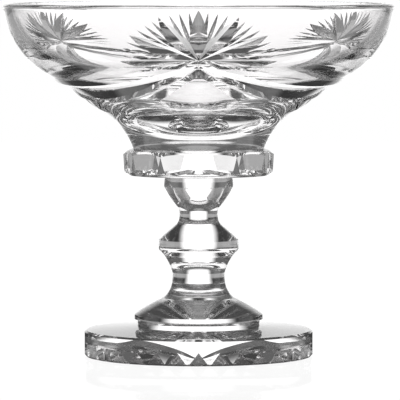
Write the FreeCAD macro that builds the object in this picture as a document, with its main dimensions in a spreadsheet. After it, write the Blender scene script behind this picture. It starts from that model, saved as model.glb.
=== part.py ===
import FreeCAD, Part
import os
import math
import Sketcher

# Footed crystal bowl, one fused piece of cut glass.
# Turned blank first, then the cut work: twelve collar flats, three fans of
# mitre rays, three double swags between the fans, and a star under the foot.
# Millimetres, +Z up, origin at the middle of the underside of the foot.
# One fan faces the front, -Y.
# Heights are stacked: each rise starts where the one before it ends.

V = FreeCAD.Vector
doc = FreeCAD.newDocument("footed_bowl")
sheet = doc.addObject("Spreadsheet::Sheet", "Dimensions")

CELLS = [
    # foot, undercut ring and domed shoulder
    ("foot_radius", 73.8), ("foot_height", 16.8), ("foot_bevel", 1.2), ("foot_crown", 2.2),
    ("undercut_radius", 39.5), ("undercut_gap", 5.0),
    ("shoulder_radius", 41.5), ("shoulder_band", 2.9),
    ("dome_radius", 23.0), ("dome_rise", 10.6),
    # stem: two necks and two knops
    ("lower_neck_radius", 17.0), ("lower_neck_rise", 13.0), ("lower_neck_length", 3.5),
    ("big_knop_radius", 25.9), ("big_knop_rise", 15.3), ("big_knop_band", 5.9),
    ("upper_neck_radius", 12.5), ("upper_neck_rise", 14.6), ("upper_neck_length", 3.4),
    ("small_knop_radius", 22.4), ("small_knop_rise", 16.6), ("small_knop_crest", 7.5),
    # collar
    ("collar_radius", 48.7), ("collar_thickness", 15.9),
    ("collar_chamfer", 2.7), ("collar_taper", 0.7), ("collar_sides", 12),
    # bowl outside
    ("bowl_neck_radius", 42.5), ("bowl_neck_rise", 1.3),
    ("apron_radius", 60.4), ("apron_rise", 23.3),
    ("cone_radius", 95.53), ("cone_rise", 22.3), ("cone_swell", 0.8),
    ("wall_arc_radius", 62.24), ("wall_start_lean", 60.66), ("wall_rise", 45.1), ("lip_rise", 2.8),
    # bowl inside
    ("lip_width", 6.0), ("lip_round", 2.6), ("lip_inner_round", 2.0),
    ("hollow_arc_radius", 49.0), ("hollow_top_lean", 8.2), ("hollow_turn_lean", 55.3), ("hollow_swell", 2.9),
    ("hollow_floor_radius", 24.0), ("hollow_floor_dish", 3.9), ("hollow_above_collar", 16.2),
    # fans of mitre rays
    ("fans", 3), ("fan_above_cone", 12.3),
    ("fan_half_width", 50.0), ("fan_rise", 36.5),
    ("ray_wedge", 9.0), ("ray_half_open", 15.0), ("ray_pit", 1.3), ("ray_tip", 0.15), ("ray_overrun", 2.0),
    ("spike_half_open", 8.5), ("spike_pit", 0.8), ("spike_reach", 0.98), ("spike_start", 0.45),
    # swags between the fans
    ("swag_sweep", 84.0),
    ("wide_ring_radius", 178.4), ("wide_tube_radius", 34.0), ("wide_low_out", 1.7),
    ("wide_low_drop", 37.3), ("wide_lean", 29.7),
    ("narrow_ring_radius", 175.5), ("narrow_tube_radius", 10.6), ("narrow_low_out", -24.6),
    ("narrow_low_drop", 25.4), ("narrow_lean", 60.4),
    # star under the foot
    ("star_rays", 32), ("star_inner", 4.5), ("resting_ring", 6.3), ("star_depth", 8.1),
    ("star_wedge", 9.0), ("star_half_open", 6.8),
]
# Directions of the rays from the upright, in degrees: main cuts, then the thin spikes between them.
MAIN_RAYS = (-89, -64, -36, 0, 36, 64, 89)
SPIKES = (-101, -95, -83, -77, -70.5, -57, -50, -43, -27, -18, -9,
          9, 18, 27, 43, 50, 57, 70.5, 77, 83, 95, 101)

for row, (alias, value) in enumerate(CELLS, start=1):
    sheet.set("A%d" % row, alias)
    sheet.set("B%d" % row, str(value))
    sheet.setAlias("B%d" % row, alias)
doc.recompute()


def dim(alias):
    """The value of one cell of the sheet."""
    return float(sheet.get(alias))


def bind(obj, prop, expression):
    """Ties a size of an object to cells of the sheet."""
    for alias, _ in CELLS:
        expression = expression.replace("<%s>" % alias, "Dimensions.%s" % alias)
    obj.setExpression(prop, expression)


# heights, stacked from the table up
undercut_low = dim("foot_height") + dim("foot_crown")
undercut_top = undercut_low + dim("undercut_gap")
shoulder_top = undercut_top + dim("shoulder_band")
dome_top = shoulder_top + dim("dome_rise")
lower_neck_low = dome_top + dim("lower_neck_rise")
lower_neck_top = lower_neck_low + dim("lower_neck_length")
big_knop_low = lower_neck_top + dim("big_knop_rise")
big_knop_top = big_knop_low + dim("big_knop_band")
upper_neck_low = big_knop_top + dim("upper_neck_rise")
upper_neck_top = upper_neck_low + dim("upper_neck_length")
small_knop_wide = upper_neck_top + dim("small_knop_rise")
collar_low = small_knop_wide + dim("small_knop_crest")
collar_high = collar_low + dim("collar_thickness")
bowl_neck_high = collar_high + dim("bowl_neck_rise")
apron_high = bowl_neck_high + dim("apron_rise")
cone_high = apron_high + dim("cone_rise")
lip_high = cone_high + dim("wall_rise")
rim_high = lip_high + dim("lip_rise")
fan_high = cone_high + dim("fan_above_cone")
hollow_low = collar_high + dim("hollow_above_collar")

# the wall arc leaves the top of the cone, so its centre follows from that point
wall_lean = math.radians(dim("wall_start_lean"))
wall_arc = dim("wall_arc_radius")
wall_centre = dim("cone_radius") - wall_arc * math.cos(wall_lean)
wall_level = cone_high + wall_arc * math.sin(wall_lean)


def wall_radius(height):
    """Outside radius of the bowl on its wall arc or on the cone below it."""
    if height < cone_high:
        slope = (dim("cone_radius") - dim("apron_radius")) / dim("cone_rise")
        return dim("cone_radius") - slope * (cone_high - height)
    return wall_centre + math.sqrt(wall_arc ** 2 - (height - wall_level) ** 2)


# turned blank: half section in the XZ plane, spun about Z
body = doc.addObject("PartDesign::Body", "TurnedBlank")
body.Label = "turned_blank"
sketch = body.newObject("Sketcher::SketchObject", "HalfSection")
plane = [f for f in body.Origin.OriginFeatures if f.Role == "XZ_Plane"][0]
sketch.AttachmentSupport = [(plane, "")]
sketch.MapMode = "FlatFace"


def line(start, end):
    """A straight run of the half section."""
    return Part.LineSegment(V(start[0], start[1], 0), V(end[0], end[1], 0))


def arc(start, middle, end):
    """A curved run of the half section through three points."""
    return Part.Arc(V(start[0], start[1], 0), V(middle[0], middle[1], 0), V(end[0], end[1], 0))


def bulge(start, end, depth):
    """The point half way from start to end, pushed to the left of that way by depth."""
    dx, dy = end[0] - start[0], end[1] - start[1]
    size = math.hypot(dx, dy)
    return ((start[0] + end[0]) / 2 - dy / size * depth, (start[1] + end[1]) / 2 + dx / size * depth)


def hollow_point(lean):
    """A point of the inside wall arc at an angle below the level of its centre."""
    lean = math.radians(lean)
    return (hollow_centre[0] + hollow_arc * math.cos(lean), hollow_centre[1] - hollow_arc * math.sin(lean))


foot_r, foot_h, bevel = dim("foot_radius"), dim("foot_height"), dim("foot_bevel")
undercut_r, shoulder_r = dim("undercut_radius"), dim("shoulder_radius")
dome = (dim("dome_radius"), dome_top)
neck_low = (dim("lower_neck_radius"), lower_neck_low)
neck_low_top = (dim("lower_neck_radius"), lower_neck_top)
big_low = (dim("big_knop_radius"), big_knop_low)
big_top = (dim("big_knop_radius"), big_knop_top)
neck_up = (dim("upper_neck_radius"), upper_neck_low)
neck_up_top = (dim("upper_neck_radius"), upper_neck_top)
small = (dim("small_knop_radius"), small_knop_wide)
chamfer, taper, collar_r = dim("collar_chamfer"), dim("collar_taper"), dim("collar_radius")
bowl_neck = (dim("bowl_neck_radius"), bowl_neck_high)
apron = (dim("apron_radius"), apron_high)
cone = (dim("cone_radius"), cone_high)
cone_mid = bulge(apron, cone, -dim("cone_swell"))
wall_mid = (cone_high + lip_high) / 2
lip = (wall_radius(lip_high), lip_high)
lip_in = (lip[0] - dim("lip_width"), lip_high)
rounding, inner_rounding = dim("lip_round"), dim("lip_inner_round")
# the inside wall arc starts at the inner edge of the lip
hollow_arc, top_lean, turn_lean = dim("hollow_arc_radius"), dim("hollow_top_lean"), dim("hollow_turn_lean")
hollow_centre = (lip_in[0] - hollow_arc * math.cos(math.radians(top_lean)),
                 lip_in[1] + hollow_arc * math.sin(math.radians(top_lean)))
hollow_turn = hollow_point(turn_lean)
# shallow round floor with its centre on the axis
floor_r, dish = dim("hollow_floor_radius"), dim("hollow_floor_dish")
floor_edge = (floor_r, hollow_low + dish)
floor_arc = (floor_r ** 2 + dish ** 2) / (2 * dish)

section = [
    # foot with small bevels and a slightly crowned top
    line((0, 0), (foot_r - bevel, 0)),
    line((foot_r - bevel, 0), (foot_r, bevel)),
    line((foot_r, bevel), (foot_r, foot_h - bevel)),
    line((foot_r, foot_h - bevel), (foot_r - bevel, foot_h)),
    line((foot_r - bevel, foot_h), (undercut_r, undercut_low)),
    # undercut ring, shoulder band and dome
    line((undercut_r, undercut_low), (undercut_r, undercut_top)),
    line((undercut_r, undercut_top), (shoulder_r, undercut_top)),
    line((shoulder_r, undercut_top), (shoulder_r, shoulder_top)),
    arc((shoulder_r, shoulder_top), bulge((shoulder_r, shoulder_top), dome, -0.5), dome),
    # lower neck and the banded knop
    arc(dome, bulge(dome, neck_low, 1.7), neck_low),
    line(neck_low, neck_low_top),
    arc(neck_low_top, bulge(neck_low_top, (big_low[0] - 0.6, big_low[1] - 1.0), 1.1),
        (big_low[0] - 0.6, big_low[1] - 1.0)),
    line((big_low[0] - 0.6, big_low[1] - 1.0), big_low),
    line(big_low, big_top),
    line(big_top, (big_top[0] - 1.0, big_top[1] + 1.0)),
    line((big_top[0] - 1.0, big_top[1] + 1.0), (neck_up[0] + 1.8, neck_up[1] - 4.6)),
    # upper neck and the round knop
    arc((neck_up[0] + 1.8, neck_up[1] - 4.6),
        bulge((neck_up[0] + 1.8, neck_up[1] - 4.6), neck_up, 0.45), neck_up),
    line(neck_up, neck_up_top),
    arc(neck_up_top, bulge(neck_up_top, (neck_up[0] + 1.8, neck_up_top[1] + 3.9), 0.4),
        (neck_up[0] + 1.8, neck_up_top[1] + 3.9)),
    arc((neck_up[0] + 1.8, neck_up_top[1] + 3.9),
        bulge((neck_up[0] + 1.8, neck_up_top[1] + 3.9), small, -0.55), small),
    arc(small, bulge(small, (small[0] - 1.0, collar_low), -0.3), (small[0] - 1.0, collar_low)),
    # collar blank, its flats are cut later
    line((small[0] - 1.0, collar_low), (collar_r - taper - chamfer, collar_low)),
    line((collar_r - taper - chamfer, collar_low), (collar_r - taper, collar_low + 0.85 * chamfer)),
    line((collar_r - taper, collar_low + 0.85 * chamfer), (collar_r, collar_high - chamfer)),
    line((collar_r, collar_high - chamfer), (collar_r - chamfer, collar_high)),
    line((collar_r - chamfer, collar_high), bowl_neck),
    # bowl outside: hollow apron, cone, wall arc and rounded lip
    arc(bowl_neck, bulge(bowl_neck, apron, 2.3), apron),
    line(apron, cone_mid),
    line(cone_mid, cone),
    arc(cone, (wall_radius(wall_mid), wall_mid), lip),
    arc(lip, bulge(lip, (lip[0] - rounding, rim_high), -0.95), (lip[0] - rounding, rim_high)),
    line((lip[0] - rounding, rim_high), (lip_in[0] + inner_rounding, rim_high)),
    arc((lip_in[0] + inner_rounding, rim_high),
        bulge((lip_in[0] + inner_rounding, rim_high), lip_in, -0.75), lip_in),
    # bowl inside down to the axis
    arc(lip_in, hollow_point((top_lean + turn_lean) / 2), hollow_turn),
    arc(hollow_turn, bulge(hollow_turn, floor_edge, dim("hollow_swell")), floor_edge),
    arc(floor_edge, (floor_r / 2, hollow_low + floor_arc - math.sqrt(floor_arc ** 2 - floor_r ** 2 / 4)),
        (0, hollow_low)),
    line((0, hollow_low), (0, 0)),
]
sketch.addGeometry(section, False)
for index in range(len(section)):
    follow = (index + 1) % len(section)
    gap, here, there = min(
        (sketch.getPoint(index, a).distanceToPoint(sketch.getPoint(follow, b)), a, b) for a in (1, 2) for b in (1, 2))
    if gap > 0.001:
        raise RuntimeError("the half section is open after run %d" % index)
    sketch.addConstraint(Sketcher.Constraint("Coincident", index, here, follow, there))

blank = body.newObject("PartDesign::Revolution", "Turned")
blank.Profile = sketch
blank.ReferenceAxis = (sketch, ["V_Axis"])
blank.Angle = 360
body.Tip = blank
sketch.Visibility = False


def roof(name, length, width, rise):
    """A prism with a sharp ridge along its own Z, ridge on its +Y side, its sizes tied to the sheet."""
    cutter = doc.addObject("Part::Wedge", name)
    cutter.Ymax = 0
    cutter.Zmin = 0
    cutter.Z2min = 0
    cutter.X2min = 0
    cutter.X2max = 0
    bind(cutter, "Ymin", "-(%s)" % rise)
    bind(cutter, "Xmin", "-(%s)" % width)
    bind(cutter, "Xmax", width)
    cutter.Zmax = length
    cutter.Z2max = length
    return cutter


def seat(cutter, start, end, inward):
    """Lays the ridge of a cutter from start to end with its sharp side towards inward."""
    along = end.sub(start).normalize()
    down = inward.sub(along * inward.dot(along)).normalize()
    across = down.cross(along)
    cutter.Placement = FreeCAD.Placement(start, FreeCAD.Rotation(across, down, along, "ZYX"))


def wall_point(turn, height, sunk):
    """A point of the bowl wall at an angle from the front, set into the glass by sunk, with its inward normal."""
    radius = wall_radius(height)
    side = V(math.sin(turn), -math.cos(turn), 0)
    out = side * (radius - wall_centre) + V(0, 0, height - wall_level)
    out.normalize()
    return side * radius + V(0, 0, height) - out * sunk, out * -1


def fan_tip(direction, reach):
    """Turn and height on the wall of the tip of a ray that leaves the fan's centre at an angle from the upright."""
    lean = math.radians(direction)
    span = reach / math.hypot(math.sin(lean) / dim("fan_half_width"), math.cos(lean) / dim("fan_rise"))
    start = math.asin((fan_high - wall_level) / wall_arc)
    rise = start + span * math.cos(lean) / wall_arc
    height = wall_level + wall_arc * math.sin(rise)
    turn = span * math.sin(lean) / ((wall_radius(fan_high) + wall_radius(height)) / 2)
    return turn, height


bowl = body


def take_away(name, cutters):
    """Cuts a group of tools out of the bowl as it stands, the tools joined first."""
    global bowl
    tool = cutters[0]
    if len(cutters) > 1:
        tool = doc.addObject("Part::MultiFuse", name + "Tools")
        tool.Shapes = cutters
    cut = doc.addObject("Part::Cut", name)
    cut.Base = bowl
    cut.Tool = tool
    bowl = cut


# double swags half way between the fans: leaning rings, each cutting a hollow crescent
for kind in ("wide", "narrow"):
    lean = math.radians(dim(kind + "_lean"))
    for fan in range(int(dim("fans"))):
        middle = 2 * math.pi * (fan + 0.5) / dim("fans")
        side = V(math.sin(middle), -math.cos(middle), 0)
        climb = side * -math.cos(lean) + V(0, 0, math.sin(lean))
        level = V(side.y, -side.x, 0)
        low = side * (cone[0] + dim(kind + "_low_out")) + V(0, 0, cone_high - dim(kind + "_low_drop"))
        wheel = doc.addObject("Part::Circle", "Wheel_%s_%d" % (kind, fan))
        bind(wheel, "Radius", "<%s_tube_radius>" % kind)
        wheel.Placement = FreeCAD.Placement(low, FreeCAD.Rotation(climb * -1, level.cross(climb), level * -1, "ZXY"))
        ring = doc.addObject("Part::Revolution", "Ring_%s_%d" % (kind, fan))
        ring.Source = wheel
        ring.Base = low + climb * dim(kind + "_ring_radius")
        ring.Axis = level.cross(climb)
        ring.Symmetric = True
        ring.Solid = True
        bind(ring, "Angle", "<swag_sweep>")
        take_away("Swag_%s_%d" % (kind, fan), [ring])

# collar flats: a vertex faces the front, each block trims one side
sides = int(dim("collar_sides"))
tools = []
for number in range(sides):
    turn = 2 * math.pi * (number + 0.5) / sides
    block = doc.addObject("Part::Box", "Flat%d" % number)
    bind(block, "Length", "<collar_radius> * 0.5")
    bind(block, "Width", "<collar_radius> * 0.62")
    bind(block, "Height", "<collar_thickness> + 2")
    out = V(math.sin(turn), -math.cos(turn), 0)
    along = V(-out.y, out.x, 0)
    corner = out * (collar_r * math.cos(math.pi / sides)) - along * (collar_r * 0.31)
    block.Placement = FreeCAD.Placement(
        corner + V(0, 0, collar_low - 1), FreeCAD.Rotation(out, along, V(0, 0, 1), "ZXY"))
    tools.append(block)

take_away("Collar", tools)

# star under the foot: sharp grooves that deepen outwards and stop inside the resting ring
rays = int(dim("star_rays"))
tools = []
star_out = foot_r - dim("resting_ring")
for number in range(rays):
    turn = 2 * math.pi * number / rays
    out = V(math.sin(turn), -math.cos(turn), 0)
    begin = out * dim("star_inner")
    end = out * star_out + V(0, 0, dim("star_depth"))
    cutter = roof("Star%d" % number, end.sub(begin).Length, "<star_half_open>", "<star_wedge>")
    seat(cutter, begin, end, V(0, 0, 1))
    tools.append(cutter)

take_away("BaseStar", tools)

# fans of rays: seven leaf-shaped mitre cuts each, then the thin spikes between them
for fan in range(int(dim("fans"))):
    face = 2 * math.pi * fan / dim("fans")
    pit, inward = wall_point(face, fan_high, dim("ray_pit"))
    tools = []
    for number, direction in enumerate(MAIN_RAYS):
        turn, height = fan_tip(direction, 1.0)
        tip, tip_inward = wall_point(face + turn, height, dim("ray_tip"))
        begin = pit - (tip - pit).normalize() * dim("ray_overrun")
        cutter = roof("Ray%d_%d" % (fan, number), tip.sub(begin).Length, "<ray_half_open>", "<ray_wedge>")
        seat(cutter, begin, tip, inward + tip_inward)
        tools.append(cutter)
    take_away("Fan%d" % fan, tools)
    tools = []
    for number, direction in enumerate(SPIKES):
        turn, height = fan_tip(direction, dim("spike_reach"))
        tip, tip_inward = wall_point(face + turn, height, 0.02)
        turn, height = fan_tip(direction, dim("spike_start"))
        begin, _ = wall_point(face + turn, height, dim("spike_pit"))
        cutter = roof("Spike%d_%d" % (fan, number), tip.sub(begin).Length, "<spike_half_open>", "<ray_wedge>")
        seat(cutter, begin, tip, inward + tip_inward)
        tools.append(cutter)
    take_away("Spikes%d" % fan, tools)

bowl.Label = "footed_bowl"
bowl.Placement = FreeCAD.Placement(V(0, 0, 0), FreeCAD.Rotation(V(0, 0, 1), 0))
doc.recompute()

for obj in doc.Objects:
    if "Invalid" in obj.State or "Error" in obj.State:
        raise RuntimeError("%s could not be built: %s" % (obj.Name, obj.State))
shape = bowl.Shape
if shape.isNull() or not shape.isValid() or len(shape.Solids) != 1:
    raise RuntimeError("the bowl is not one sound solid")
if shape.Volume >= 0.99 * body.Shape.Volume:
    raise RuntimeError("the cut work took nothing away")

os.makedirs("parts", exist_ok=True)
shape.exportStep("parts/footed_bowl.step")
print("footed_bowl", round(shape.Volume), "mm3 of", round(body.Shape.Volume), len(shape.Faces), "faces", shape.BoundBox)
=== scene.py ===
"""Footed cut crystal bowl: turned blank, cut work, polish and a pale studio stage."""
import math

import bpy
from bpy.props import FloatProperty, FloatVectorProperty, IntProperty, PointerProperty
from mathutils import Matrix, Vector


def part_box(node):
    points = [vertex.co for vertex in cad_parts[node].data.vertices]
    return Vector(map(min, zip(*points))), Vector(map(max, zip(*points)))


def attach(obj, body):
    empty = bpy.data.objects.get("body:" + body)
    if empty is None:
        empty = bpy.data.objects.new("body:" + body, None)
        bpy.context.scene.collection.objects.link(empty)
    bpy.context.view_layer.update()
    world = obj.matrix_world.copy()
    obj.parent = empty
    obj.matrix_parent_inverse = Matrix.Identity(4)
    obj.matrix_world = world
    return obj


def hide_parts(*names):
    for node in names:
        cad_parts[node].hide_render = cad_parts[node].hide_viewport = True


bl_info = {
    "name": "Footed Crystal Bowl",
    "version": (1, 0, 0),
    "blender": (4, 5, 0),
    "location": "View3D > Sidebar > Crystal",
    "description": "Turns, cuts and polishes a footed crystal bowl and sets its studio",
    "category": "Object",
}

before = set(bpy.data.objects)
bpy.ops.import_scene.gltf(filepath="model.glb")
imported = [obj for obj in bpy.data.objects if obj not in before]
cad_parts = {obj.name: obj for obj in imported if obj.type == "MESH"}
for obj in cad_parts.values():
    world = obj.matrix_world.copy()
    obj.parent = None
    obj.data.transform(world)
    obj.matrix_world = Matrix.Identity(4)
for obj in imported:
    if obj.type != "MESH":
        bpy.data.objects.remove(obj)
LOW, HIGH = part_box("footed_bowl")
HEIGHT = HIGH.z - LOW.z
MM = HEIGHT / 228.0  # one millimetre of the bowl's own drawing, in metres
BLANK = "crystal_bowl"
WEDGE = 9.0  # height of the three-sided cutters' section, in millimetres


# settings

class BowlSettings(bpy.types.PropertyGroup):
    """Sizes of the cut work, in millimetres of the bowl's drawing."""

    segments: IntProperty(
        name="Segments", description="Steps round the turned blank", default=240, min=48)
    fans: IntProperty(name="Fans", description="Ray fans round the wall", default=3, min=1)
    fan_height: FloatProperty(name="Fan height", description="Height of a fan's centre", default=192.4)
    fan_half_width: FloatProperty(name="Fan half width", description="Length of a level ray", default=50.0)
    fan_rise: FloatProperty(name="Fan rise", description="Length of the upright ray", default=36.5)
    ray_pit: FloatProperty(name="Ray pit", description="Depth of a ray at the fan's centre", default=1.7)
    ray_half_open: FloatProperty(
        name="Ray half angle", description="Half the opening angle of a main ray",
        default=math.radians(59.0), subtype="ANGLE", unit="ROTATION")
    spike_half_open: FloatProperty(
        name="Spike half angle", description="Half the opening angle of a thin spike",
        default=math.radians(43.4), subtype="ANGLE", unit="ROTATION")
    spike_pit: FloatProperty(name="Spike depth", description="Depth at the start of a thin spike", default=0.95)
    spike_start: FloatProperty(
        name="Spike start", description="Share of the reach at which a spike starts",
        default=0.45, subtype="FACTOR")
    collar_radius: FloatProperty(name="Collar radius", description="Radius over the collar's corners", default=48.7)
    collar_sides: IntProperty(name="Collar sides", description="Flats cut on the collar", default=12, min=3)
    star_rays: IntProperty(name="Base star rays", description="Grooves under the foot", default=32, min=4)
    star_inner: FloatProperty(name="Star inner radius", description="Where the grooves start", default=4.5)
    star_outer: FloatProperty(name="Star outer radius", description="Where the grooves stop", default=67.5)
    star_depth: FloatProperty(name="Star depth", description="Depth of the grooves at their outer end", default=8.1)
    star_half_open: FloatProperty(
        name="Star half angle", description="Half the opening angle of a groove of the star",
        default=math.radians(37.1), subtype="ANGLE", unit="ROTATION")


class StageSettings(bpy.types.PropertyGroup):
    """Glass finish, light and camera."""

    glass_tint: FloatVectorProperty(
        name="Glass tint", description="Colour of the glass", subtype="COLOR", default=(0.998, 0.992, 0.994))
    glass_index: FloatProperty(name="Refractive index", description="Lead crystal bends light strongly", default=1.545)
    backdrop: FloatVectorProperty(
        name="Backdrop", description="Colour behind the bowl", subtype="COLOR", default=(1.0, 1.0, 1.0))
    screens: IntProperty(name="Screens", description="White screens round the table", default=4, min=1)
    screen_half_width: FloatProperty(
        name="Screen half width", description="Half the width of a white screen, seen from the bowl",
        default=math.radians(19.0), subtype="ANGLE", unit="ROTATION")
    screen_top: FloatProperty(
        name="Screen top", description="Height of a white screen, seen from the bowl",
        default=math.radians(30.0), subtype="ANGLE", unit="ROTATION")
    room_level: FloatProperty(name="Room level", description="Light from the dark room", default=0.17, min=0.0)
    mid_tones: FloatProperty(
        name="Mid-tones", description="Gamma of the picture; below one deepens the greys", default=0.86)
    screen_level: FloatProperty(name="Screen level", description="Brightness of the white screens", default=1.2)
    screen_blur: FloatProperty(
        name="Screen edge", description="Softness of a screen's side edges",
        default=math.radians(6.0), subtype="ANGLE", unit="ROTATION")
    ceiling_level: FloatProperty(name="Ceiling level", description="Soft light above the table", default=0.35, min=0.0)
    # painted light on the table for rays from the glass: painted shade between the screens, a painted glow far out and
    # a painted lit spot round the foot
    table_level: FloatProperty(name="Table level", description="Table between the screens", default=0.05, min=0.0)
    far_table_level: FloatProperty(
        name="Far table level", description="Table between the screens, away from the bowl", default=0.4)
    pool_radius: FloatProperty(
        name="Pool radius", description="Lit spot of the table round the foot", default=0.16, unit="LENGTH")
    pool_level: FloatProperty(name="Pool level", description="Brightness of that spot", default=0.08, min=0.0)
    table_white: FloatProperty(name="Table white", description="Brightness of the table to the eye", default=1.05)
    mirror_share: FloatProperty(
        name="Mirror share", description="Strength of the table's mirror image", default=0.1, subtype="FACTOR")
    camera_distance: FloatProperty(
        name="Camera distance", description="From the axis of the bowl", default=2.65, unit="LENGTH")
    camera_height: FloatProperty(
        name="Camera height", description="Above the table", default=0.26, unit="LENGTH")
    frame_width: FloatProperty(
        name="Frame width", description="Width of the picture at the bowl", default=0.2588, unit="LENGTH")


# drawing of the bowl

WALL = {"radius": 62.24, "centre": 65.03, "level": 234.36}
HOLLOW = {"radius": 49.0, "top_lean": 8.2, "turn_lean": 55.3, "swell": 2.9,
          "floor": 24.0, "dish": 3.9, "low": 149.4}
CONE_TOP = (95.53, 180.1)
APRON = (60.4, 157.8)
CONE_SWELL = 0.8
RINGS = {
    "wide": {"ring": 178.4, "tube": 34.0, "radial": 97.23, "height": 142.8, "lean": 29.7,
             "tilt": -29.5, "sunk": 1.5, "half_open": 73.0, "sweep": 77.4},
    "narrow": {"ring": 175.5, "tube": 10.6, "radial": 70.93, "height": 154.7, "lean": 60.4,
               "tilt": -3.0, "sunk": 1.2, "half_open": 65.0, "sweep": 69.0},
}
MAIN_RAYS = (-89, -64, -36, 0, 36, 64, 89)
SPIKES = (-101, -95, -83, -77, -70.5, -57, -50, -43, -27, -18, -9,
          9, 18, 27, 43, 50, 57, 70.5, 77, 83, 95, 101)


def wall_radius(height):
    """Outside radius of the bowl's wall at a height."""
    if height < CONE_TOP[1]:
        slope = (CONE_TOP[0] - APRON[0]) / (CONE_TOP[1] - APRON[1])
        return CONE_TOP[0] - slope * (CONE_TOP[1] - height)
    return WALL["centre"] + math.sqrt(WALL["radius"] ** 2 - (height - WALL["level"]) ** 2)


def straight(start, end, step):
    """Points of a straight run, start left out."""
    count = max(1, round(math.dist(start, end) / step))
    return [(start[0] + (end[0] - start[0]) * i / count, start[1] + (end[1] - start[1]) * i / count)
            for i in range(1, count + 1)]


def curve(start, end, bulge, count):
    """Points of an arc that bulges to the left of the way from start to end, start left out."""
    if abs(bulge) < 1e-6:
        return straight(start, end, math.dist(start, end) / count)
    dx, dy = end[0] - start[0], end[1] - start[1]
    chord = math.hypot(dx, dy)
    radius = (chord * chord / 4 + bulge * bulge) / (2 * abs(bulge))
    side = 1 if bulge > 0 else -1
    left = (-dy / chord * side, dx / chord * side)
    middle = ((start[0] + end[0]) / 2, (start[1] + end[1]) / 2)
    centre = (middle[0] - left[0] * (radius - abs(bulge)), middle[1] - left[1] * (radius - abs(bulge)))
    begin = math.atan2(start[1] - centre[1], start[0] - centre[0])
    sweep = math.atan2(end[1] - centre[1], end[0] - centre[0]) - begin
    sweep = (sweep + math.pi) % (2 * math.pi) - math.pi
    return [(centre[0] + radius * math.cos(begin + sweep * i / count),
             centre[1] + radius * math.sin(begin + sweep * i / count)) for i in range(1, count + 1)]


def half_section():
    """The outline of the turned blank from the axis under the foot, up the outside and down the inside."""
    lip_height, top, lip_width, lip_round, lip_swell = 225.2, 228.0, 6.0, 2.95, 0.95
    lip = (wall_radius(lip_height), lip_height)
    lip_in = (lip[0] - lip_width, lip_height)
    points = [(0.0, 0.0)]

    def to(point, step=6.0):
        points.extend(straight(points[-1], point, step))

    def bend(point, bulge, count):
        points.extend(curve(points[-1], point, bulge, count))

    # foot, undercut ring and shoulder
    to((72.6, 0.0))
    to((73.8, 1.2))
    to((73.8, 15.6))
    to((72.6, 16.8))
    to((39.5, 19.0))
    to((39.5, 24.0))
    to((41.5, 24.0))
    to((41.5, 26.9))
    bend((23.0, 37.5), -0.5, 12)
    # lower neck and the banded knop
    bend((17.0, 50.5), 1.7, 12)
    to((17.0, 54.0))
    bend((25.3, 68.3), 1.1, 12)
    to((25.9, 69.3))
    to((25.9, 75.2))
    to((24.9, 76.2))
    to((14.3, 85.2))
    # upper neck and the round knop
    bend((12.5, 89.8), 0.45, 8)
    to((12.5, 93.2))
    bend((14.3, 97.1), 0.4, 8)
    bend((22.4, 109.8), -0.55, 12)
    bend((21.4, 117.3), -0.3, 8)
    # collar
    to((45.3, 117.3))
    to((48.0, 119.6))
    to((48.7, 130.5))
    to((46.0, 133.2))
    to((42.5, 134.5))
    # bowl outside, lip and inside
    bend(APRON, 2.3, 16)
    bend(CONE_TOP, -CONE_SWELL, 14)
    start = math.asin((CONE_TOP[1] - WALL["level"]) / WALL["radius"])
    end = math.asin((lip_height - WALL["level"]) / WALL["radius"])
    points.extend((WALL["centre"] + WALL["radius"] * math.cos(start + (end - start) * i / 30),
                   WALL["level"] + WALL["radius"] * math.sin(start + (end - start) * i / 30))
                  for i in range(1, 31))
    bend((lip[0] - lip_round, top), -lip_swell, 12)
    to((lip_in[0] + lip_round, top))
    bend(lip_in, -lip_swell, 12)
    first, last = math.radians(HOLLOW["top_lean"]), math.radians(HOLLOW["turn_lean"])
    centre = (lip_in[0] - HOLLOW["radius"] * math.cos(first), lip_in[1] + HOLLOW["radius"] * math.sin(first))
    leans = [first + (last - first) * i / 24 for i in range(1, 25)]
    points.extend((centre[0] + HOLLOW["radius"] * math.cos(lean), centre[1] - HOLLOW["radius"] * math.sin(lean))
                  for lean in leans)
    bend((HOLLOW["floor"], HOLLOW["low"] + HOLLOW["dish"]), HOLLOW["swell"], 30)
    chord = math.hypot(HOLLOW["floor"], HOLLOW["dish"])
    floor_arc = chord ** 2 / (2 * HOLLOW["dish"])
    bend((0.0, HOLLOW["low"]), floor_arc - math.sqrt(floor_arc ** 2 - chord ** 2 / 4), 8)
    return points


# making and cutting

def only(piece):
    """Selects one object and makes it active."""
    if bpy.context.object and bpy.context.object.mode != "OBJECT":
        bpy.ops.object.mode_set(mode="OBJECT")
    bpy.ops.object.select_all(action="DESELECT")
    piece.select_set(True)
    bpy.context.view_layer.objects.active = piece


def freeze(piece):
    """Puts an object's place, turn and size into its mesh."""
    only(piece)
    bpy.ops.object.transform_apply(location=True, rotation=True, scale=True)


def drop(piece):
    """Removes a used cutter."""
    only(piece)
    bpy.ops.object.delete()


def tally(piece):
    """Counts of a mesh's points, edges and faces."""
    return len(piece.data.vertices), len(piece.data.edges), len(piece.data.polygons)


def cut(piece, cutters):
    """Cuts each tool out of the piece in turn and throws the tool away; every tool has to take glass off."""
    for cutter in cutters:
        only(piece)
        before = tally(piece)
        change = piece.modifiers.new("Cut", "BOOLEAN")
        change.operation = "DIFFERENCE"
        change.solver = "MANIFOLD"
        change.object = cutter
        bpy.ops.object.modifier_apply(modifier=change.name)
        if tally(piece) == before:
            raise RuntimeError("a cutter took nothing off " + piece.name)
        drop(cutter)


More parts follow.
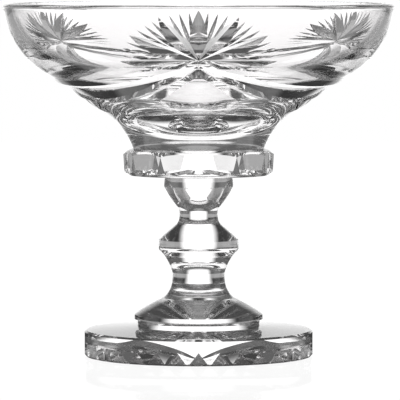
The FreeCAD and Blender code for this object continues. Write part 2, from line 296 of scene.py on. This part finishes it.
def mitre(begin, end, inward, half_open):
    """A three-sided bar whose sharp edge runs from begin to end and points inward, in millimetres."""
    along = (end - begin).normalized()
    down = (inward - along * inward.dot(along)).normalized()
    across = down.cross(along)
    length = (end - begin).length
    bpy.ops.object.select_all(action="DESELECT")
    bpy.ops.mesh.primitive_cylinder_add(vertices=3, radius=WEDGE * 2 / 3, depth=length, location=(0, 0, 0))
    bar = bpy.context.object
    spread = math.tan(half_open) / math.tan(math.radians(30))
    place = Matrix((across, down, along)).transposed().to_4x4()
    place.translation = begin
    bar.matrix_world = (Matrix.Scale(MM, 4) @ place @ Matrix.Translation((0, -WEDGE * 2 / 3, length / 2))
                        @ Matrix.Diagonal((spread, 1, 1, 1)))
    freeze(bar)
    return bar


def groove_ring(kind, place):
    """Part of a leaning ring with a sharp inner edge, the path of a mitre wheel along a swag."""
    half_open, tilt = math.radians(kind["half_open"]), math.radians(kind["tilt"])
    bpy.ops.object.select_all(action="DESELECT")
    bpy.ops.mesh.primitive_circle_add(vertices=3, radius=WEDGE * 2 / 3, fill_type="NOTHING", location=(0, 0, 0))
    ring = bpy.context.object
    spread = math.tan(half_open) / math.tan(math.radians(30))
    edge, sweep = kind["tube"] + kind["sunk"], math.radians(kind["sweep"])
    ring.matrix_world = (Matrix.Scale(MM, 4) @ Matrix.Rotation(sweep / 2, 4, "Z")
                         @ Matrix.Translation((0, -kind["ring"], 0))
                         @ Matrix.Rotation(tilt, 4, "X") @ Matrix.Translation((0, edge - WEDGE * 2 / 3, 0))
                         @ Matrix.Rotation(math.pi / 2, 4, "Y") @ Matrix.Diagonal((spread, 1, 1, 1)))
    freeze(ring)
    bpy.ops.object.mode_set(mode="EDIT")
    bpy.ops.mesh.select_all(action="SELECT")
    bpy.ops.mesh.spin(steps=90, angle=sweep, center=(0, 0, 0), axis=(0, 0, 1))
    bpy.ops.mesh.select_all(action="SELECT")
    bpy.ops.mesh.fill_holes(sides=3)
    bpy.ops.mesh.select_all(action="SELECT")
    bpy.ops.mesh.normals_make_consistent(inside=False)
    bpy.ops.object.mode_set(mode="OBJECT")
    ring.matrix_world = place
    freeze(ring)
    return ring


def around(turn):
    """Level direction at a turn from the front."""
    return Vector((math.sin(turn), -math.cos(turn), 0))


def wall_point(turn, height, sunk):
    """A point of the wall, set into the glass by sunk, and the inward normal there."""
    radius = wall_radius(height)
    out = around(turn) * (radius - WALL["centre"]) + Vector((0, 0, height - WALL["level"]))
    out.normalize()
    return around(turn) * radius + Vector((0, 0, height)) - out * sunk, -out


def fan_tip(direction, reach, bowl):
    """Turn and height on the wall of the tip of a ray at an angle from the upright."""
    lean = math.radians(direction)
    span = reach / math.hypot(math.sin(lean) / bowl.fan_half_width, math.cos(lean) / bowl.fan_rise)
    start = math.asin((bowl.fan_height - WALL["level"]) / WALL["radius"])
    height = WALL["level"] + WALL["radius"] * math.sin(start + span * math.cos(lean) / WALL["radius"])
    return span * math.sin(lean) / ((wall_radius(bowl.fan_height) + wall_radius(height)) / 2), height


class CRYSTAL_OT_turn_blank(bpy.types.Operator):
    """Turns the blank: the half section is drawn as an edge chain and spun about the axis"""

    bl_idname = "crystal.turn_blank"
    bl_label = "Turn Blank"

    def execute(self, context):
        section = half_section()
        bpy.ops.object.select_all(action="DESELECT")
        bpy.ops.mesh.primitive_plane_add(size=0.001, location=(0, 0, 0))
        blank = context.object
        blank.name = BLANK
        bpy.ops.object.mode_set(mode="EDIT")
        bpy.ops.mesh.merge(type="CENTER")
        for before, after in zip(section, section[1:]):
            step = ((after[0] - before[0]) * MM, 0, (after[1] - before[1]) * MM)
            bpy.ops.mesh.extrude_region_move(TRANSFORM_OT_translate={"value": step})
        bpy.ops.mesh.select_all(action="SELECT")
        bpy.ops.mesh.spin(steps=context.scene.bowl.segments, angle=2 * math.pi, center=(0, 0, 0), axis=(0, 0, 1))
        bpy.ops.mesh.select_all(action="SELECT")
        bpy.ops.mesh.remove_doubles(threshold=0.00001)
        bpy.ops.mesh.normals_make_consistent(inside=False)
        bpy.ops.object.mode_set(mode="OBJECT")
        return {"FINISHED"}


class CRYSTAL_OT_cut_swags(bpy.types.Operator):
    """Grinds the double hollow swags between the fans with leaning rings"""

    bl_idname = "crystal.cut_swags"
    bl_label = "Cut Swags"

    def execute(self, context):
        bowl = context.scene.bowl
        cutters = []
        for kind in RINGS.values():
            lean = math.radians(kind["lean"])
            for fan in range(bowl.fans):
                side = around(2 * math.pi * (fan + 0.5) / bowl.fans)
                climb = side * -math.cos(lean) + Vector((0, 0, math.sin(lean)))
                level = Vector((side.y, -side.x, 0))
                low = side * kind["radial"] + Vector((0, 0, kind["height"]))
                place = Matrix((level, climb, level.cross(climb))).transposed().to_4x4()
                place.translation = (low + climb * kind["ring"]) * MM
                cutters.append(groove_ring(kind, place))
        cut(bpy.data.objects[BLANK], cutters)
        return {"FINISHED"}


class CRYSTAL_OT_cut_collar(bpy.types.Operator):
    """Cuts the flats of the collar, with a corner to the front"""

    bl_idname = "crystal.cut_collar"
    bl_label = "Cut Collar"

    def execute(self, context):
        bowl = context.scene.bowl
        base, top, thick = 116.3, 134.2, 20.0
        apothem = bowl.collar_radius * math.cos(math.pi / bowl.collar_sides)
        width = 2.4 * bowl.collar_radius * math.sin(math.pi / bowl.collar_sides)
        cutters = []
        for side in range(bowl.collar_sides):
            turn = 2 * math.pi * (side + 0.5) / bowl.collar_sides
            place = around(turn) * (apothem + thick / 2)
            bpy.ops.object.select_all(action="DESELECT")
            bpy.ops.mesh.primitive_cube_add(
                size=1, location=(place.x * MM, place.y * MM, (base + top) / 2 * MM),
                rotation=(0, 0, turn), scale=(width * MM, thick * MM, (top - base) * MM))
            freeze(context.object)
            cutters.append(context.object)
        cut(bpy.data.objects[BLANK], cutters)
        return {"FINISHED"}


class CRYSTAL_OT_cut_base_star(bpy.types.Operator):
    """Cuts the star under the foot: sharp grooves that deepen outwards"""

    bl_idname = "crystal.cut_base_star"
    bl_label = "Cut Base Star"

    def execute(self, context):
        bowl = context.scene.bowl
        cutters = []
        for ray in range(bowl.star_rays):
            out = around(2 * math.pi * ray / bowl.star_rays)
            end = out * bowl.star_outer + Vector((0, 0, bowl.star_depth))
            cutters.append(mitre(out * bowl.star_inner, end, Vector((0, 0, 1)), bowl.star_half_open))
        cut(bpy.data.objects[BLANK], cutters)
        return {"FINISHED"}


class CRYSTAL_OT_cut_fans(bpy.types.Operator):
    """Cuts the fans: leaf-shaped mitre rays and the thin spikes between them"""

    bl_idname = "crystal.cut_fans"
    bl_label = "Cut Fans"

    def execute(self, context):
        bowl = context.scene.bowl
        overrun, ray_tip, spike_tip, spike_reach = 2.0, 0.15, 0.02, 0.98
        cutters = []
        for fan in range(bowl.fans):
            face = 2 * math.pi * fan / bowl.fans
            pit, inward = wall_point(face, bowl.fan_height, bowl.ray_pit)
            for direction in MAIN_RAYS:
                turn, height = fan_tip(direction, 1.0, bowl)
                tip, tip_inward = wall_point(face + turn, height, ray_tip)
                begin = pit - (tip - pit).normalized() * overrun
                cutters.append(mitre(begin, tip, inward + tip_inward, bowl.ray_half_open))
            for direction in SPIKES:
                turn, height = fan_tip(direction, spike_reach, bowl)
                tip, tip_inward = wall_point(face + turn, height, spike_tip)
                turn, height = fan_tip(direction, bowl.spike_start, bowl)
                begin, _ = wall_point(face + turn, height, bowl.spike_pit)
                cutters.append(mitre(begin, tip, inward + tip_inward, bowl.spike_half_open))
        cut(bpy.data.objects[BLANK], cutters)
        return {"FINISHED"}


# glass

def hand_polish_group():
    """Node group: slow waves and fine wear of hand-polished glass."""
    group = bpy.data.node_groups.new("hand_polish", "ShaderNodeTree")
    face = group.interface
    face.new_socket("Wave Size", in_out="INPUT", socket_type="NodeSocketFloat")
    face.new_socket("Wear", in_out="INPUT", socket_type="NodeSocketFloat")
    face.new_socket("Roughness", in_out="OUTPUT", socket_type="NodeSocketFloat")
    face.new_socket("Height", in_out="OUTPUT", socket_type="NodeSocketFloat")
    nodes, links = group.nodes, group.links
    into, out = nodes.new("NodeGroupInput"), nodes.new("NodeGroupOutput")
    place = nodes.new("ShaderNodeTexCoord")
    waves = nodes.new("ShaderNodeTexNoise")
    waves.inputs["Detail"].default_value = 1.0
    links.new(place.outputs["Object"], waves.inputs["Vector"])
    links.new(into.outputs["Wave Size"], waves.inputs["Scale"])
    links.new(waves.outputs["Fac"], out.inputs["Height"])
    # the resting ring under the foot is worn dull, and so is its edge
    split = nodes.new("ShaderNodeSeparateXYZ")
    links.new(place.outputs["Object"], split.inputs[0])
    low = nodes.new("ShaderNodeMapRange")
    low.inputs["From Min"].default_value = 0.0
    low.inputs["From Max"].default_value = 0.4 * MM
    low.inputs["To Min"].default_value = 1.0
    low.inputs["To Max"].default_value = 0.0
    links.new(split.outputs["Z"], low.inputs["Value"])
    worn = nodes.new("ShaderNodeMath")
    worn.operation = "MULTIPLY"
    links.new(low.outputs["Result"], worn.inputs[0])
    links.new(into.outputs["Wear"], worn.inputs[1])
    links.new(worn.outputs[0], out.inputs["Roughness"])
    return group


def crystal_material(stage):
    """Clear lead crystal, polished, with the faint waves of hand work."""
    crystal = bpy.data.materials.new("lead_crystal")
    crystal.use_nodes = True
    nodes, links = crystal.node_tree.nodes, crystal.node_tree.links
    shader = nodes["Principled BSDF"]
    shader.inputs["Base Color"].default_value = (*stage.glass_tint, 1)
    shader.inputs["Transmission Weight"].default_value = 1.0
    shader.inputs["IOR"].default_value = stage.glass_index
    shader.inputs["Metallic"].default_value = 0.0
    polish = nodes.new("ShaderNodeGroup")
    polish.node_tree = hand_polish_group()
    polish.inputs["Wave Size"].default_value = 60.0
    polish.inputs["Wear"].default_value = 0.25
    links.new(polish.outputs["Roughness"], shader.inputs["Roughness"])
    bump = nodes.new("ShaderNodeBump")
    bump.inputs["Strength"].default_value = 0.15
    bump.inputs["Distance"].default_value = 0.0002
    links.new(polish.outputs["Height"], bump.inputs["Height"])
    links.new(bump.outputs["Normal"], shader.inputs["Normal"])
    return crystal


class CRYSTAL_OT_polish(bpy.types.Operator):
    """Smooths the curves, keeps the cut edges sharp, and gives the piece its glass"""

    bl_idname = "crystal.polish"
    bl_label = "Polish"

    def execute(self, context):
        piece = bpy.data.objects[BLANK]
        only(piece)
        bpy.ops.object.shade_smooth_by_angle(angle=math.radians(9.5))
        piece.data.materials.clear()
        piece.data.materials.append(crystal_material(context.scene.stage))
        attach(piece, "root")
        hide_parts("footed_bowl")
        return {"FINISHED"}


# stage

def reckon(tree, operation, first, second=0.0):
    """One sum of two values in a node tree; each may be a number or a socket."""
    node = tree.nodes.new("ShaderNodeMath")
    node.operation = operation
    for slot, value in enumerate((first, second)):
        if isinstance(value, (int, float)):
            node.inputs[slot].default_value = value
        else:
            tree.links.new(value, node.inputs[slot])
    return node.outputs[0]


def fade(tree, value, low, high, low_value, high_value):
    """A soft step from one value to another."""
    node = tree.nodes.new("ShaderNodeMapRange")
    node.interpolation_type = "SMOOTHSTEP"
    node.inputs["From Min"].default_value = low
    node.inputs["From Max"].default_value = high
    node.inputs["To Min"].default_value = low_value
    node.inputs["To Max"].default_value = high_value
    tree.links.new(value, node.inputs["Value"])
    return node.outputs["Result"]


def screen_share(tree, place, stage):
    """How far a direction or a spot of the table lies in front of a screen, and its level reach."""
    split = tree.nodes.new("ShaderNodeSeparateXYZ")
    tree.links.new(place, split.inputs[0])
    x, y, z = split.outputs
    reach = reckon(tree, "SQRT", reckon(tree, "ADD", reckon(tree, "MULTIPLY", x, x), reckon(tree, "MULTIPLY", y, y)))
    aside = reckon(tree, "PINGPONG", reckon(tree, "ARCTAN2", x, y), math.pi / stage.screens)
    edge = stage.screen_half_width
    blur = stage.screen_blur
    return fade(tree, aside, edge - blur, edge + blur, stage.screen_level, 0.0), reach, z


def white_room(world, stage):
    """Dim room with white screens round the table and a soft light above."""
    world.use_nodes = True
    tree = world.node_tree
    tree.nodes.clear()
    way = tree.nodes.new("ShaderNodeTexCoord")
    screen, reach, z = screen_share(tree, way.outputs["Generated"], stage)
    rise = reckon(tree, "ARCTAN2", z, reach)
    top, top_blur = stage.screen_top, 0.12
    ceiling_edge, ceiling_full = math.radians(68), math.radians(76)
    screen = reckon(tree, "MULTIPLY", screen, fade(tree, rise, top - top_blur, top + top_blur, 1.0, 0.0))
    ceiling = fade(tree, rise, ceiling_edge, ceiling_full, 0.0, stage.ceiling_level)
    light = reckon(tree, "MAXIMUM", reckon(tree, "MAXIMUM", screen, ceiling), stage.room_level)
    shade = tree.nodes.new("ShaderNodeBackground")
    tree.links.new(light, shade.inputs["Strength"])
    shade.inputs["Color"].default_value = (1, 1, 1, 1)
    plain = tree.nodes.new("ShaderNodeBackground")
    plain.inputs["Color"].default_value = (*stage.backdrop, 1)
    path = tree.nodes.new("ShaderNodeLightPath")
    pick = tree.nodes.new("ShaderNodeMixShader")
    tree.links.new(path.outputs["Is Camera Ray"], pick.inputs[0])
    tree.links.new(shade.outputs[0], pick.inputs[1])
    tree.links.new(plain.outputs[0], pick.inputs[2])
    out = tree.nodes.new("ShaderNodeOutputWorld")
    tree.links.new(pick.outputs[0], out.inputs["Surface"])


def table_material(stage):
    """Pale glossy table: white to the eye with a faint mirror image; to the glass it glows with painted light, lit
    towards the screens, dimmer between, with a painted lit spot round the foot.
    """
    paint = bpy.data.materials.new("pale_table")
    paint.use_nodes = True
    tree = paint.node_tree
    tree.nodes.clear()
    plain = tree.nodes.new("ShaderNodeEmission")
    plain.inputs["Strength"].default_value = stage.table_white
    mirror = tree.nodes.new("ShaderNodeBsdfGlossy")
    mirror.inputs["Roughness"].default_value = 0.03
    seen = tree.nodes.new("ShaderNodeMixShader")
    seen.inputs[0].default_value = stage.mirror_share
    tree.links.new(plain.outputs[0], seen.inputs[1])
    tree.links.new(mirror.outputs[0], seen.inputs[2])
    place = tree.nodes.new("ShaderNodeTexCoord")
    screen, reach, _ = screen_share(tree, place.outputs["Object"], stage)
    pool_edge, lit_from, lit_full, far_from, far_full = stage.pool_radius + 0.03, 0.07, 0.1, 0.4, 0.6
    # painted light for rays from the glass: a glowing spot round the foot, brighter before the screens and far out,
    # painted shade between the screens
    painted_light_pool = fade(tree, reach, stage.pool_radius, pool_edge, stage.pool_level, stage.table_level)
    lit = reckon(tree, "MULTIPLY", screen, fade(tree, reach, lit_from, lit_full, 0.0, 1.0))
    far = fade(tree, reach, far_from, far_full, 0.0, stage.far_table_level)
    soft = tree.nodes.new("ShaderNodeEmission")
    tree.links.new(reckon(tree, "MAXIMUM", reckon(tree, "MAXIMUM", lit, painted_light_pool), far), soft.inputs["Strength"])
    path = tree.nodes.new("ShaderNodeLightPath")
    pick = tree.nodes.new("ShaderNodeMixShader")
    tree.links.new(path.outputs["Is Camera Ray"], pick.inputs[0])
    tree.links.new(soft.outputs[0], pick.inputs[1])
    tree.links.new(seen.outputs[0], pick.inputs[2])
    out = tree.nodes.new("ShaderNodeOutputMaterial")
    tree.links.new(pick.outputs[0], out.inputs["Surface"])
    return paint


class CRYSTAL_OT_set_stage(bpy.types.Operator):
    """Pale table, white room and the camera at the photograph's angle"""

    bl_idname = "crystal.set_stage"
    bl_label = "Set Stage"

    def execute(self, context):
        stage = context.scene.stage
        bpy.ops.object.select_all(action="DESELECT")
        reach, drop_below = 3.0, 0.0002
        bpy.ops.mesh.primitive_circle_add(vertices=96, radius=reach, fill_type="NGON", location=(0, 0, -drop_below))
        floor = context.object
        floor.name = "pale_table"
        freeze(floor)
        floor.data.materials.append(table_material(stage))
        context.scene.view_settings.view_transform = "Standard"
        context.scene.view_settings.gamma = stage.mid_tones
        context.scene.cycles.max_bounces = 32
        context.scene.cycles.transmission_bounces = 32
        context.scene.cycles.glossy_bounces = 16
        world = context.scene.world or bpy.data.worlds.new("white_room")
        context.scene.world = world
        white_room(world, stage)
        aim = Vector((0.0009, 0, 0.1008))
        eye = Vector((0, -stage.camera_distance, stage.camera_height))
        bpy.ops.object.camera_add(location=eye, rotation=(aim - eye).to_track_quat("-Z", "Y").to_euler())
        camera = context.object
        camera.data.lens = camera.data.sensor_width * (aim - eye).length / stage.frame_width
        camera.data.clip_end = 20.0
        context.scene.camera = camera
        return {"FINISHED"}


# panel and registration

class CRYSTAL_PT_panel(bpy.types.Panel):
    """Steps of making the bowl, in order"""

    bl_idname = "CRYSTAL_PT_panel"
    bl_label = "Footed Crystal Bowl"
    bl_space_type = "VIEW_3D"
    bl_region_type = "UI"
    bl_category = "Crystal"

    def draw(self, context):
        for operator in OPERATORS:
            self.layout.operator(operator.bl_idname)
        for settings in (context.scene.bowl, context.scene.stage):
            for name in settings.bl_rna.properties.keys():
                if name not in ("rna_type", "name"):
                    self.layout.prop(settings, name)


OPERATORS = (
    CRYSTAL_OT_turn_blank, CRYSTAL_OT_cut_swags, CRYSTAL_OT_cut_collar, CRYSTAL_OT_cut_base_star,
    CRYSTAL_OT_cut_fans, CRYSTAL_OT_polish, CRYSTAL_OT_set_stage,
)
CLASSES = (BowlSettings, StageSettings, *OPERATORS, CRYSTAL_PT_panel)


def register():
    """Makes the settings, operators and panel known."""
    for each in CLASSES:
        bpy.utils.register_class(each)
    bpy.types.Scene.bowl = PointerProperty(type=BowlSettings)
    bpy.types.Scene.stage = PointerProperty(type=StageSettings)


def unregister():
    """Takes them away again."""
    del bpy.types.Scene.bowl
    del bpy.types.Scene.stage
    for each in reversed(CLASSES):
        bpy.utils.unregister_class(each)


def main():
    """Makes the bowl, cuts it, polishes it and sets the stage."""
    register()
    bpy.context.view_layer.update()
    bpy.ops.crystal.turn_blank()
    bpy.ops.crystal.cut_swags()
    bpy.ops.crystal.cut_collar()
    bpy.ops.crystal.cut_base_star()
    bpy.ops.crystal.cut_fans()
    bpy.ops.crystal.polish()
    bpy.ops.crystal.set_stage()


if __name__ == "__main__":
    main()
